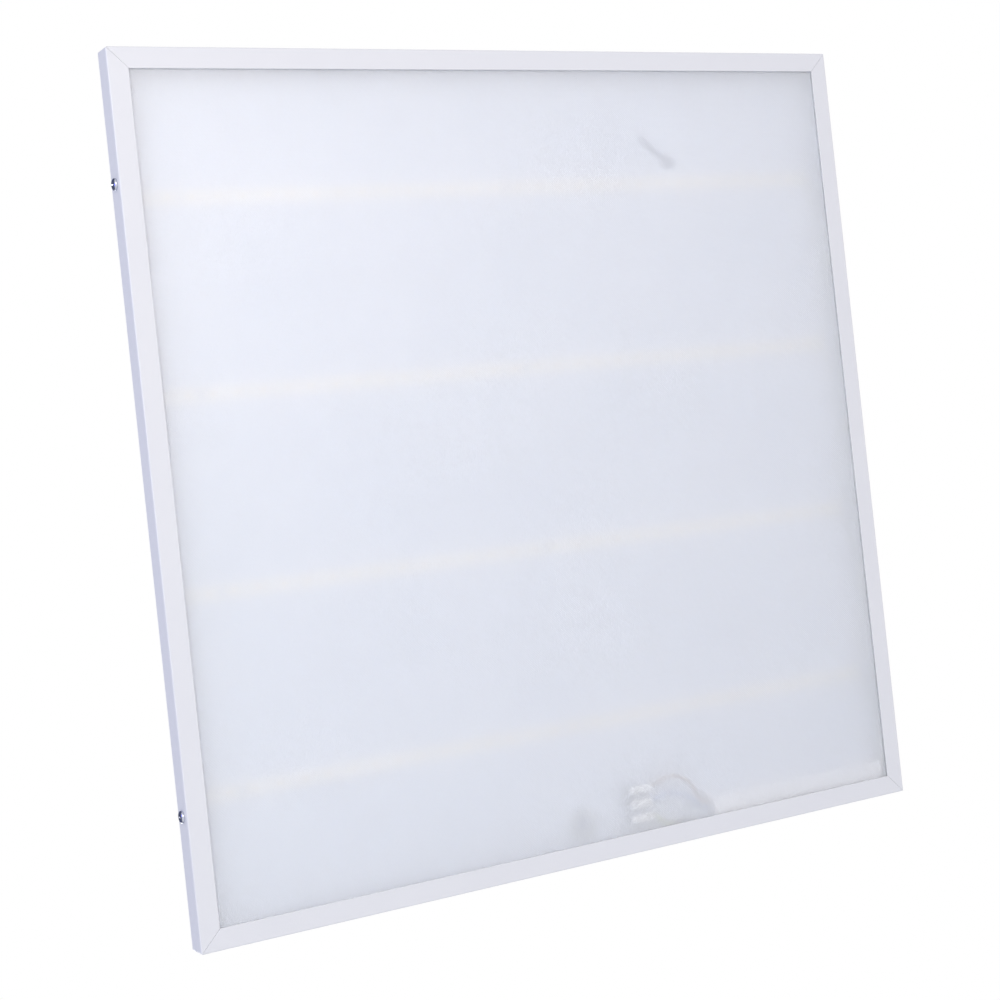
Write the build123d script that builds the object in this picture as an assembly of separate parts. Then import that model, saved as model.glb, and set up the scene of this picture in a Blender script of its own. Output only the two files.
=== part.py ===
from build123d import *

import math
import os

# Slim square LED ceiling panel with a sliding diffuser behind a mitred frame.
#
# Millimetres. The panel lies as it is installed: its lit face looks down, the ceiling void
# is above. The origin is the centre of the face, in the plane that rests on the grid bars.
# +X is the open end, whose rail comes off so that the diffuser slides out. -Y is the side
# that holds the driver and the terminal block.

# ---------------------------------------------------------------- driving sizes
panel_size = 595.0  # outer square of the frame
rail_height = 17.0  # side wall of the frame, face to rear edge
bezel_width = 14.5  # front flange of a rail
bezel_sheet = 1.2  # thickness of that flange
rail_wall = 1.2  # thickness of the rail's side wall
rail_bend = 1.0  # rounding between face and side wall
lip_round = 0.5  # rounding of the flange's inner lip
frame_corner = 1.5  # rounding of the frame's four upright corners
mitre_gap = 0.15  # hairline between two mitred rails
shelf_sheet = 1.0  # web behind the diffuser groove
shelf_reach = 10.0  # from the outer wall to the web's free edge

diffuser_sheet = 1.5
groove_clearance = 0.2  # each side of the diffuser in its groove
diffuser_edge_gap = 1.3  # room for the plastic to grow
diffuser_corner = 1.0

tray_sheet = 0.6
tray_gap = 0.3  # between rail wall and tray wall
tray_seat_gap = 0.2  # between the web and the tray's lower edge
tray_bend = 1.5  # outer bend radius of the tray
bead_width = 16.0
bead_height = 1.2
bead_end_margin = 75.0  # from the tray wall to the end of a bead
bead_slope = 40.0  # degrees

rail_screw_inset = 89.5  # from the end of a rail to the nearer of its two screws
rail_screw_level = 8.0  # above the face
rail_screw_length = 6.5
rail_screw_head = 4.2  # radius, of the end rail's pan heads
rail_screw_head_height = 2.4
rail_screw_shank = 1.9  # radius
flush_head = 2.9  # radius, of the other rails' countersunk heads
flush_head_depth = 0.9
flush_head_gap = 0.05  # between a countersunk head and its seat
running_clearance = 0.05  # radial, between a shank and the hole that it fills
clearance_hole_extra = 0.25  # radial, for a shank that passes through loosely
cut_overrun = 1.0  # how far a cutter runs past the surface that it cuts
collar_wall = 1.2
collar_depth = 2.0

row_wall_gap = 95.9  # from the tray's side wall to the middle of the first LED board
row_count = 4
board_width = 12.0
board_sheet = 1.0
board_end_gap = 17.4  # from the tray wall to the end of a board
led_pitch = 18.0
led_end_margin = 8.0  # from the end of a board to the nearest place for a chip
chip_length = 3.5
chip_width = 2.8
chip_height = 0.8
board_screw_head = 2.7  # radius
board_screw_head_height = 1.4
board_screw_shank = 1.4  # radius
screw_tip = 1.0  # how far a screw's tip stands out behind the tray

connector_length = 8.0
connector_width = 9.2
connector_height = 2.8
connector_inset = 6.0  # from the end of a board
connector_pitch = 6.0  # between its two wire holes
connector_bore_depth = 4.5
connector_round = 0.4

output_lead = 0.8  # radius of a lead on the low-voltage side
mains_lead = 1.1  # radius of a lead on the mains side
lead_clearance = 0.15  # radial, round a lead in a moulded hole
lead_floor_gap = 0.1  # between a low-voltage lead and the tray floor
mains_lead_grip = 3.5  # from the middle of the terminal block to the end of a conductor
mains_lead_exit = 11.0  # straight stretch at the terminal block
mains_lead_reach = 7.0  # how far a mains lead runs into the driver
output_lead_reach = 6.5  # how far a low-voltage lead runs into the driver
output_lead_exit = 4.2  # straight stretch of those leads at a connector
jumper_exit = 3.6  # straight stretch of a jumper at a connector
connector_grip = 3.5  # how far a lead runs into a connector

driver_length = 164.0
driver_width = 20.4
driver_height = 12.6
driver_end_gap = 14.4  # from the tray's end wall
driver_wall_gap = 5.0  # from the tray's side wall
driver_wall = 1.2
driver_split = 8.0  # height of the base above the tray floor
driver_lip = 1.5  # how far the cover reaches into the base
driver_lip_wall = 0.8
driver_lip_gap = 0.15
driver_edge_round = 1.0
driver_boss = 2.8  # radius
driver_boss_height = 4.0
driver_screw_inset = 5.2  # from the outer corner of the case, both ways
driver_board_sheet = 1.4
driver_board_level = 2.8  # board's solder side above the tray floor
driver_board_gap = 0.3
driver_ledge = 1.0
lead_hole_near = 4.3  # from the inner long wall's outer face to the first lead
lead_hole_pitch = 4.0
driver_screw_shortfall = 0.5  # between a screw's tip and the end of its boss

# Parts on the driver's board. A place is a distance from the mains end of the case and a
# share of its width; a box is length, width and height.
transformer_place = (92.0, 0.5)
transformer_core = (16.0, 6.0, 6.6)
transformer_bobbin = (10.5, 15.0, 5.8)
bobbin_round = 1.2
can_places = [(44.0, 0.42), (59.0, 0.42), (128.0, 0.42)]
can_radius = 3.1
can_length = 12.0
can_round = 0.8
choke_place = (74.0, 0.5)
choke_height = 6.4
choke_flange = 3.9  # radius
choke_flange_sheet = 1.5
choke_winding = 3.2  # radius
rectifier_place = (31.0, 0.45)
rectifier_body = (8.4, 6.4, 3.2)
rectifier_round = 0.5
fuse_place = (20.0, 0.34)
fuse_radius = 1.8
fuse_length = 9.0

terminal_earth_distance = 44.0  # along X, from the earth point to the middle of the block
terminal_wall_gap = 20.8  # from the tray wall to the nearest pole
terminal_pitch = 10.7
terminal_length = 18.5
terminal_tower = 6.2  # width of a pole
terminal_height = 11.5
terminal_crown = 2.0  # rounding along the top of a pole
terminal_bore_level = 5.4  # above the tray floor
terminal_web_length = 9.0
terminal_web_height = 7.0
clamp_outer = 2.3  # radius
clamp_bore = 1.5  # radius
clamp_length = 15.0
clamp_fit = 0.1
clamp_screw_spread = 4.6  # from the middle of a pole
clamp_screw_radius = 1.2
clamp_screw_head = 1.5  # radius
clamp_screw_head_height = 1.2
clamp_screw_sink = 0.8  # below the top of a pole
clamp_tip_gap = 0.1  # between a screw's tip and the lead under it
block_screw_head = 2.0  # radius
block_screw_shank = 1.2  # radius
block_screw_head_height = 1.3

grommet_distance = 46.0  # along X, from the middle of the terminal block
grommet_wall_gap = 23.4  # from the tray wall to the middle of the grommet
grommet_hole = 10.0  # radius of the hole in the tray
grommet_bore = 5.0  # radius of the passage for the supply cable
grommet_flange = 12.5  # radius
grommet_flange_sheet = 1.2
grommet_round = 0.5

keyhole_end_gap = 147.8  # from the tray's closed end to the middle of the round entry
keyhole_side_gap = 80.6  # from the tray's far side wall to the middle of the round entry
keyhole_length = 30.0  # between the middles of the round entry and the narrow end
keyhole_angle = 38.2  # degrees, from +X
keyhole_entry = 4.8  # radius
keyhole_slot = 2.75  # half the width of the narrow part

earth_driver_gap = 19.0  # from the driver's mains end to the earth point
earth_wall_gap = 9.9
earth_shank = 2.0  # radius
earth_head = 3.8  # radius
earth_head_height = 1.4
lug_ring = 4.2  # radius
lug_sheet = 0.8
lug_barrel = 1.9  # radius
lug_barrel_start = 6.0  # from the middle of the ring
lug_barrel_length = 7.0
lug_barrel_solid = 1.5  # length of the barrel that the conductor doesn't reach
earth_lead_grip = 4.5  # how far the earth lead runs into the barrel
earth_lead_exit = 5.0  # straight stretch at the barrel
washer_radius = 4.0
washer_sheet = 0.8
nut_across_flats = 7.0
nut_height = 3.0
earth_tip = 1.5  # how far the screw stands out of its nut

clip_length = 8.0
clip_width = 3.8
clip_height = 3.4
clip_slot = 1.2  # radius
clip_wall_distance = 3.0  # from the tray wall to the middle of the slot
clip_round = 1.0

# ---------------------------------------------------------------- derived places
half = panel_size / 2
shelf_bottom = bezel_sheet + diffuser_sheet + 2 * groove_clearance
shelf_top = shelf_bottom + shelf_sheet
tray_out = half - rail_wall - tray_gap
tray_in = tray_out - tray_sheet
tray_floor = rail_height
tray_back = tray_floor + tray_sheet
tray_edge = shelf_top + tray_seat_gap
rail_screw_offset = half - rail_screw_inset
row_pitch = 2 * (tray_in - row_wall_gap) / (row_count - 1)
row_places = [tray_in - row_wall_gap - row_pitch * row for row in range(row_count)]
board_half = tray_in - board_end_gap
board_top = tray_floor - board_sheet
led_half_count = int((board_half - led_end_margin) / led_pitch + 0.5)
led_places = [led_pitch * (n + 0.5) for n in range(-led_half_count, led_half_count)]
board_screw_places = [led_pitch * n for n in (1 - led_half_count, 0, led_half_count - 1)]
connector_end = connector_inset - board_half
connector_bore_z = board_top - connector_height / 2
output_lead_z = tray_floor - output_lead - lead_floor_gap
driver_x0 = driver_end_gap - tray_in
driver_x1 = driver_x0 + driver_length
driver_y0 = driver_wall_gap - tray_in
driver_y1 = driver_y0 + driver_width
driver_face = tray_floor - driver_height
driver_joint = tray_floor - driver_split
driver_board_z = tray_floor - driver_board_level
driver_parts_z = driver_board_z - driver_board_sheet
driver_lead_z = driver_parts_z - mains_lead - running_clearance
driver_screw_y = driver_y0 + driver_screw_inset
driver_screw_xs = (driver_x0 + driver_screw_inset, driver_x1 - driver_screw_inset)
earth_x = driver_x1 + earth_driver_gap
earth_y = earth_wall_gap - tray_in
terminal_x = earth_x + terminal_earth_distance
terminal_poles = [terminal_wall_gap - tray_in + terminal_pitch * n for n in range(3)]
terminal_bore_z = tray_floor - terminal_bore_level
grommet_x = terminal_x + grommet_distance
grommet_y = grommet_wall_gap - tray_in
keyhole_x = keyhole_end_gap - tray_in
keyhole_y = tray_in - keyhole_side_gap
clip_x = clip_wall_distance - tray_in

BOTTOM = (Align.CENTER, Align.CENTER, Align.MIN)


# ---------------------------------------------------------------- plain shapes
def block(x0, x1, y0, y1, z0, z1):
    """A box between two corners."""
    middle = Pos((x0 + x1) / 2, (y0 + y1) / 2, (z0 + z1) / 2)
    return middle * Box(x1 - x0, y1 - y0, z1 - z0)


def rod_x(radius, x0, x1, y, z):
    return Pos((x0 + x1) / 2, y, z) * Rot(0, 90, 0) * Cylinder(radius, x1 - x0)


def rod_y(radius, x, y0, y1, z):
    return Pos(x, (y0 + y1) / 2, z) * Rot(90, 0, 0) * Cylinder(radius, y1 - y0)


def rod_z(radius, x, y, z0, z1):
    return Pos(x, y, (z0 + z1) / 2) * Cylinder(radius, z1 - z0)


def pan_screw(head, head_height, shank, length):
    """A domed screw along Z: its head stands on the plane z = 0, its shank goes down."""
    dome = Cylinder(head, head_height, align=BOTTOM)
    dome = fillet(dome.edges().sort_by(Axis.Z)[-1], 0.6 * head_height)
    return dome + rod_z(shank, 0, 0, -length, 0)


def facing_down(x, y, z):
    """Puts a screw's head below the plane z, its shank going up."""
    return Pos(x, y, z) * Rot(180, 0, 0)


def write(name, shapes):
    """Writes one node, which may hold several like pieces as separate solids."""
    pieces = shapes if isinstance(shapes, list) else [shapes]
    whole = pieces[0] if len(pieces) == 1 else Compound(children=pieces)
    export_step(whole, f"parts/{name}.step")


# ---------------------------------------------------------------- frame
def corner_at(section, x, y):
    """The vertex of a section nearest a point."""
    return min(section.vertices(), key=lambda v: math.hypot(v.X - x, v.Y - y))


def rail_section():
    """Section of a rail: across from its outer wall, up from its face."""
    outline = Polyline(
        (0, 0),
        (bezel_width, 0),
        (bezel_width, bezel_sheet),
        (rail_wall, bezel_sheet),
        (rail_wall, shelf_bottom),
        (shelf_reach, shelf_bottom),
        (shelf_reach, shelf_top),
        (rail_wall, shelf_top),
        (rail_wall, rail_height),
        (0, rail_height),
        close=True,
    )
    section = make_face(outline)
    section = fillet(corner_at(section, 0, 0), rail_bend)
    section = fillet(corner_at(section, bezel_width, 0), lip_round)
    section = fillet(corner_at(section, bezel_width, bezel_sheet), lip_round)
    return fillet(corner_at(section, 0, rail_height), lip_round)


def flush_head_shape(gap=0.0):
    """A countersunk head along Z, its face on z = 0, or the seat that takes it."""
    low = flush_head_depth
    head = Cone(rail_screw_shank + gap, flush_head + gap, low, align=BOTTOM)
    return Pos(0, 0, -low) * head


def rail_screw_spots():
    """Where the two screws of the rail along -Y sit, their heads facing outwards."""
    return [
        Pos(place, -half, rail_screw_level) * Rot(90, 0, 0)
        for place in (-rail_screw_offset, rail_screw_offset)
    ]


def mitred_rail(flush):
    """The rail along -Y, mitred at both ends, with a loose or countersunk hole for each screw."""
    across = Plane(origin=(-half, -half, 0), x_dir=(0, 1, 0), z_dir=(1, 0, 0))
    bar = extrude(across * rail_section(), amount=panel_size)
    end = half - mitre_gap / math.sqrt(2)
    mitred = make_face(
        Polyline(
            (-end, -half),
            (end, -half),
            (end - bezel_width, bezel_width - half),
            (bezel_width - end, bezel_width - half),
            close=True,
        )
    )
    bar &= extrude(mitred, amount=rail_height)
    bar &= extrude(RectangleRounded(panel_size, panel_size, frame_corner), amount=rail_height)
    extra = running_clearance if flush else clearance_hole_extra
    hole = rod_z(rail_screw_shank + extra, 0, 0, -rail_wall - cut_overrun, cut_overrun)
    if flush:
        hole += flush_head_shape(flush_head_gap)
    for spot in rail_screw_spots():
        bar -= spot * hole
    return bar


def rail_screws(turn, flush):
    """The two screws of the rail that lies `turn` degrees round from the -Y side."""
    if flush:
        screw = rod_z(rail_screw_shank, 0, 0, -rail_screw_length, 0) + flush_head_shape()
    else:
        screw = pan_screw(
            rail_screw_head, rail_screw_head_height, rail_screw_shank, rail_screw_length
        )
    return [Rot(0, 0, turn) * spot * screw for spot in rail_screw_spots()]


def diffuser():
    """The prismatic sheet, held by its edges in the grooves of all four rails."""
    side = 2 * (half - rail_wall - diffuser_edge_gap)
    low = bezel_sheet + groove_clearance
    sheet = RectangleRounded(side, side, diffuser_corner)
    return Pos(0, 0, low) * extrude(sheet, amount=diffuser_sheet)


# ---------------------------------------------------------------- back tray
def keyhole():
    """Cutter for the slanted keyhole: a round entry and a narrow slot."""
    low = tray_floor - cut_overrun
    tall = tray_sheet + 2 * cut_overrun
    slot = Pos(keyhole_length / 2, 0) * SlotCenterToCenter(keyhole_length, 2 * keyhole_slot)
    slot = extrude(Pos(keyhole_x, keyhole_y, low) * Rot(0, 0, keyhole_angle) * slot, amount=tall)
    return slot + rod_z(keyhole_entry, keyhole_x, keyhole_y, low, low + tall)


def bead(y):
    """A stiffening bead pressed outwards: the form to add and the form to remove."""
    length = 2 * (tray_in - bead_end_margin)
    thinning = 2 * tray_sheet * math.tan(math.radians(bead_slope / 2))
    outer = Pos(0, y, tray_back) * SlotOverall(length, bead_width)
    inner = Pos(0, y, tray_floor) * SlotOverall(length - thinning, bead_width - thinning)
    return (
        extrude(outer, amount=bead_height, taper=bead_slope),
        extrude(inner, amount=bead_height, taper=bead_slope),
    )


def back_tray():
    """The pressed steel tray: floor, four walls, beads, screw collars and holes."""
    height = tray_back - tray_edge
    tray = Pos(0, 0, tray_edge) * Box(2 * tray_out, 2 * tray_out, height, align=BOTTOM)
    bends = tray.edges().filter_by(Axis.Z) + tray.faces().sort_by(Axis.Z)[-1].edges()
    tray = fillet(bends, tray_bend)
    depth = tray_floor - tray_edge
    inside = Pos(0, 0, tray_edge) * Box(2 * tray_in, 2 * tray_in, depth, align=BOTTOM)
    bends = inside.edges().filter_by(Axis.Z) + inside.faces().sort_by(Axis.Z)[-1].edges()
    tray -= fillet(bends, tray_bend - tray_sheet)

    for y in [(a + b) / 2 for a, b in zip(row_places, row_places[1:])]:
        added, removed = bead(y)
        tray = tray + added - removed

    tapped = rail_screw_shank + running_clearance
    for turn in (0, 90, 180, 270):
        for side in (-1, 1):
            x = side * rail_screw_offset
            inner_end = collar_depth - tray_in
            collar = rod_y(tapped + collar_wall, x, -tray_in, inner_end, rail_screw_level)
            hole_start, hole_end = -tray_out - cut_overrun, inner_end + cut_overrun
            hole = rod_y(tapped, x, hole_start, hole_end, rail_screw_level)
            tray = tray + Rot(0, 0, turn) * collar - Rot(0, 0, turn) * hole

    holes = [(board_screw_shank, x, y) for x in board_screw_places for y in row_places]
    holes += [(block_screw_shank, terminal_x, y) for y in block_screw_places()]
    holes += [(board_screw_shank, x, driver_screw_y) for x in driver_screw_xs]
    holes += [(earth_shank, earth_x, earth_y)]
    low, high = tray_floor - cut_overrun, tray_back + cut_overrun
    for shank, x, y in holes:
        tray -= rod_z(shank + running_clearance, x, y, low, high)
    tray -= rod_z(grommet_hole, grommet_x, grommet_y, low, high)
    return tray - keyhole()


# ---------------------------------------------------------------- lamps
def led_board(y):
    """An aluminium-backed strip, with a hole for each of its screws."""
    board = block(
        -board_half, board_half, y - board_width / 2, y + board_width / 2, board_top, tray_floor
    )
    for x in board_screw_places:
        hole = board_screw_shank + running_clearance
        board -= rod_z(hole, x, y, board_top - cut_overrun, tray_floor + cut_overrun)
    return board


def led_chips(y):
    """The chips along one board."""
    chip = Box(chip_length, chip_width, chip_height)
    return [Pos(x, y, board_top - chip_height / 2) * chip for x in led_places]


def board_connector(y):
    """A two-way push-in connector at the closed end of a board."""
    body = block(
        connector_end,
        connector_end + connector_length,
        y - connector_width / 2,
        y + connector_width / 2,
        board_top - connector_height,
        board_top,
    )
    body = fillet(body.faces().sort_by(Axis.Z)[0].edges(), connector_round)
    for side in (-1, 1):
        bore = output_lead + lead_clearance
        x0 = connector_end - cut_overrun
        x1 = connector_end + connector_bore_depth
        body -= rod_x(bore, x0, x1, y + side * connector_pitch / 2, connector_bore_z)
    return body


def board_screws():
    """The screws that hold the boards down, their heads on the lamp side."""
    length = board_sheet + tray_sheet + screw_tip
    screw = pan_screw(board_screw_head, board_screw_head_height, board_screw_shank, length)
    return [facing_down(x, y, board_top) * screw for y in row_places for x in board_screw_places]


# ---------------------------------------------------------------- driver
def driver_shell(z0, z1, open_at_top):
    """One open box of the driver's case, between two levels."""
    shell = block(driver_x0, driver_x1, driver_y0, driver_y1, z0, z1)
    closed = shell.faces().sort_by(Axis.Z)[0 if open_at_top else -1]
    edges = shell.edges().filter_by(Axis.Z)
    if open_at_top:
        edges += closed.edges()
    shell = fillet(edges, driver_edge_round)
    w = driver_wall
    low = z0 + w if open_at_top else z0
    high = z1 if open_at_top else z1 - w
    return shell - block(driver_x0 + w, driver_x1 - w, driver_y0 + w, driver_y1 - w, low, high)


def driver_base():
    """The half of the case that lies on the tray floor, with bosses, ledges and lead holes."""
    base = driver_shell(driver_joint, tray_floor, open_at_top=False)
    inner_floor = tray_floor - driver_wall
    for x in driver_screw_xs:
        boss = rod_z(driver_boss, x, driver_screw_y, inner_floor - driver_boss_height, inner_floor)
        pilot = board_screw_shank + running_clearance
        deep = inner_floor - driver_boss_height - cut_overrun
        base = base + boss - rod_z(pilot, x, driver_screw_y, deep, tray_floor + cut_overrun)
    x0, x1 = driver_board_span()
    for y in (driver_y0 + driver_wall, driver_y1 - driver_wall - driver_ledge):
        base += block(x0, x1, y, y + driver_ledge, driver_board_z, inner_floor)
    reach = driver_wall + cut_overrun
    for y in driver_lead_ys():
        for x, radius in ((driver_x0, output_lead), (driver_x1, mains_lead)):
            base -= rod_x(radius + lead_clearance, x - reach, x + reach, y, driver_lead_z)
    return base


def driver_inset(inset, z0, z1):
    """A box that stands in from the outside of the case all round."""
    x0, x1 = driver_x0 + inset, driver_x1 - inset
    return block(x0, x1, driver_y0 + inset, driver_y1 - inset, z0, z1)


def driver_cover():
    """The lid of the case, with a lip that fits inside the base."""
    low, high = driver_joint - driver_lip, driver_joint + driver_lip
    cover = driver_shell(driver_face, driver_joint, open_at_top=True)
    gap = driver_wall + driver_lip_gap
    lip = driver_inset(driver_wall, low, driver_joint) + driver_inset(gap, low, high)
    return cover + lip - driver_inset(gap + driver_lip_wall, low, high)


def driver_lead_ys():
    return [driver_y1 - lead_hole_near - lead_hole_pitch * n for n in range(2)]


def driver_board_span():
    inset = driver_wall + driver_board_gap
    return driver_x0 + inset, driver_x1 - inset


def driver_board():
    """The driver's circuit board, cut away round the two bosses."""
    x0, x1 = driver_board_span()
    inset = driver_wall + driver_board_gap
    board = block(x0, x1, driver_y0 + inset, driver_y1 - inset, driver_parts_z, driver_board_z)
    reach = driver_boss + driver_board_gap
    low, high = driver_parts_z - cut_overrun, driver_board_z + cut_overrun
    for x in driver_screw_xs:
        board -= rod_z(reach, x, driver_screw_y, low, high)
        board -= block(x - reach, x + reach, driver_y0, driver_screw_y, low, high)
    return board


def standing_box(place, size):
    """A box on the driver's board, given its place and its length, width and height."""
    x, y, z = on_driver_board(place)
    length, width, height = size
    return block(x - length / 2, x + length / 2, y - width / 2, y + width / 2, z - height, z)


def on_driver_board(place):
    along, share = place
    return driver_x1 - along, driver_y0 + driver_width * share, driver_parts_z


def driver_transformer():
    """A low bobbin between the two halves of its ferrite core."""
    bobbin = standing_box(transformer_place, transformer_bobbin)
    bobbin = fillet(bobbin.edges().filter_by(Axis.X), bobbin_round)
    return standing_box(transformer_place, transformer_core) + bobbin


def driver_capacitors():
    """Three electrolytic cans lying along the board."""
    cans = []
    for place in can_places:
        x, y, z = on_driver_board(place)
        level = z - can_radius - running_clearance
        can = rod_x(can_radius, x - can_length / 2, x + can_length / 2, y, level)
        cans.append(fillet(can.edges().sort_by(Axis.X)[0], can_round))
    return cans


def driver_choke():
    """A drum-core choke standing on the board, waisted where the wire is wound."""
    x, y, z = on_driver_board(choke_place)
    top = z - choke_height
    upper = rod_z(choke_flange, x, y, top, top + choke_flange_sheet)
    lower = rod_z(choke_flange, x, y, z - choke_flange_sheet, z)
    return upper + rod_z(choke_winding, x, y, top, z) + lower


def driver_rectifier():
    body = standing_box(rectifier_place, rectifier_body)
    return fillet(body.faces().sort_by(Axis.Z)[0].edges(), rectifier_round)


def driver_fuse():
    x, y, z = on_driver_board(fuse_place)
    level = z - fuse_radius - running_clearance
    return rod_x(fuse_radius, x - fuse_length / 2, x + fuse_length / 2, y, level)


def driver_screws():
    """Low-headed screws from behind the tray into the bosses."""
    length = tray_sheet + driver_wall + driver_boss_height - driver_screw_shortfall
    screw = pan_screw(board_screw_head, board_screw_head_height, board_screw_shank, length)
    return [Pos(x, driver_screw_y, tray_back) * screw for x in driver_screw_xs]


# ---------------------------------------------------------------- terminal block
def block_screw_places():
    return [(a + b) / 2 for a, b in zip(terminal_poles, terminal_poles[1:])]


def clamp_screw_xs():
    return [terminal_x + side * clamp_screw_spread for side in (-1, 1)]


def terminal_block():
    """The white moulding: three crowned poles joined by webs that take the fixing screws."""
    top = tray_floor - terminal_height
    x0, x1 = terminal_x - terminal_length / 2, terminal_x + terminal_length / 2
    towers = []
    for y in terminal_poles:
        tower = block(x0, x1, y - terminal_tower / 2, y + terminal_tower / 2, top, tray_floor)
        crown = tower.faces().sort_by(Axis.Z)[0].edges().filter_by(Axis.X)
        towers.append(fillet(crown, terminal_crown))
    body = towers[0] + towers[1:]
    web_top = tray_floor - terminal_web_height
    for y in block_screw_places():
        reach = terminal_pitch / 2
        web = block(
            terminal_x - terminal_web_length / 2,
            terminal_x + terminal_web_length / 2,
            y - reach,
            y + reach,
            web_top,
            tray_floor,
        )
        body += web
        hole = block_screw_shank + running_clearance
        body -= rod_z(hole, terminal_x, y, web_top - cut_overrun, tray_floor + cut_overrun)
    x0, x1 = x0 - cut_overrun, x1 + cut_overrun
    for y in terminal_poles:
        body -= rod_x(clamp_outer + clamp_fit, x0, x1, y, terminal_bore_z)
        for x in clamp_screw_xs():
            body -= rod_z(clamp_screw_head + clamp_fit, x, y, top - cut_overrun, terminal_bore_z)
    return body


def terminal_clamp(y):
    """A brass tube that holds the ends of both conductors of a pole."""
    x0, x1 = terminal_x - clamp_length / 2, terminal_x + clamp_length / 2
    tube = rod_x(clamp_outer, x0, x1, y, terminal_bore_z)
    tube -= rod_x(clamp_bore, x0 - cut_overrun, x1 + cut_overrun, y, terminal_bore_z)
    for x in clamp_screw_xs():
        hole = clamp_screw_radius + running_clearance
        low = terminal_bore_z - clamp_outer - cut_overrun
        tube -= rod_z(hole, x, y, low, terminal_bore_z)
    return tube


def clamp_screw(x, y):
    """A slotted screw sunk in the top of a pole, its tip just clear of the lead."""
    head_low = tray_floor - terminal_height + clamp_screw_sink
    neck = head_low + clamp_screw_head_height
    tip = terminal_bore_z - mains_lead - clamp_tip_gap
    screw = rod_z(clamp_screw_head, x, y, head_low, neck)
    return screw + rod_z(clamp_screw_radius, x, y, neck, tip)


def block_screws():
    """The two screws that hold the terminal block to the tray."""
    length = terminal_web_height + tray_sheet + screw_tip
    screw = pan_screw(block_screw_head, block_screw_head_height, block_screw_shank, length)
    z = tray_floor - terminal_web_height
    return [facing_down(terminal_x, y, z) * screw for y in block_screw_places()]


# ---------------------------------------------------------------- earth point, grommet, clips
def earth_lug():
    """A ring tag crimped on the earth lead."""
    z0 = tray_floor - lug_sheet
    barrel_z = tray_floor - lug_barrel
    x0 = earth_x + lug_barrel_start
    x1 = x0 + lug_barrel_length
    ring = rod_z(lug_ring, earth_x, earth_y, z0, tray_floor)
    solid_end = x0 + lug_barrel_solid
    low, high = earth_y - lug_barrel, earth_y + lug_barrel
    tongue = block(earth_x, solid_end, low, high, z0, tray_floor)
    lug = ring + tongue + rod_x(lug_barrel, x0, x1, earth_y, barrel_z)
    lug -= rod_x(mains_lead + lead_clearance, solid_end, x1 + cut_overrun, earth_y, barrel_z)
    return lug - earth_hole(z0, tray_floor)


def earth_hole(z0, z1):
    """Cutter for the earth screw's hole through a piece between two levels."""
    hole = earth_shank + running_clearance
    return rod_z(hole, earth_x, earth_y, z0 - cut_overrun, z1 + cut_overrun)


def earth_washer():
    z1 = tray_floor - lug_sheet
    ring = rod_z(washer_radius, earth_x, earth_y, z1 - washer_sheet, z1)
    return ring - earth_hole(z1 - washer_sheet, z1)


def earth_nut():
    z1 = tray_floor - lug_sheet - washer_sheet
    hexagon = RegularPolygon(nut_across_flats / 2, 6, major_radius=False)
    nut = Pos(earth_x, earth_y, z1 - nut_height) * extrude(hexagon, amount=nut_height)
    return nut - earth_hole(z1 - nut_height, z1)


def earth_screw():
    """The earth screw, its low head behind the tray."""
    length = tray_sheet + lug_sheet + washer_sheet + nut_height + earth_tip
    return Pos(earth_x, earth_y, tray_back) * pan_screw(
        earth_head, earth_head_height, earth_shank, length
    )


def cable_grommet():
    """A rubber bush that lines the supply cable's hole, gripping the tray on both sides."""
    low, high = tray_floor - grommet_flange_sheet, tray_back + grommet_flange_sheet
    bush = rod_z(grommet_flange, grommet_x, grommet_y, low, high)
    bush = fillet(bush.edges().filter_by(GeomType.CIRCLE), grommet_round)
    groove = rod_z(grommet_flange + cut_overrun, grommet_x, grommet_y, tray_floor, tray_back)
    groove -= rod_z(grommet_hole - running_clearance, grommet_x, grommet_y, tray_floor, tray_back)
    passage = rod_z(grommet_bore, grommet_x, grommet_y, low - cut_overrun, high + cut_overrun)
    return bush - groove - passage


def lead_clip(y):
    """A stick-on saddle that keeps the return lead by the tray's end wall."""
    y0, y1 = y - clip_length / 2, y + clip_length / 2
    x0, x1 = clip_x - clip_width / 2, clip_x + clip_width / 2
    clip = block(x0, x1, y0, y1, tray_floor - clip_height, tray_floor)
    clip = fillet(clip.faces().sort_by(Axis.Z)[0].edges().filter_by(Axis.Y), clip_round)
    slot = rod_y(clip_slot, clip_x, y0, y1, output_lead_z)
    x0, x1 = clip_x - clip_slot, clip_x + clip_slot
    return clip - slot - block(x0, x1, y0, y1, output_lead_z, tray_floor)


# ---------------------------------------------------------------- leads
def lead(name, radius, points):
    """A lead along its route: straight runs joined by arcs as large as the runs allow."""
    stops = [Vector(*point) for point in points]
    runs = [b - a for a, b in zip(stops, stops[1:])]
    radii = []
    for before, after in zip(runs, runs[1:]):
        turn = math.radians(before.get_angle(after))
        radii.append(0.45 * min(before.length, after.length) / math.tan(turn / 2))
    path = FilletPolyline(*stops, radius=radii)
    start = Plane(origin=stops[0], z_dir=runs[0])
    tube = sweep(start * Circle(radius), path=path)
    share = tube.volume / (math.pi * radius**2 * path.length)
    print(f"{name}: length {path.length:.0f}, volume share {share:.3f}")
    print("  radii", " ".join(f"{radius:.1f}" for radius in radii))
    return tube


def by_driver(point):
    """A point given from the driver's mains end, the tray's side wall and the tray's floor."""
    x, y, drop = point
    return driver_x1 + x, y - tray_in, tray_floor - drop


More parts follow.
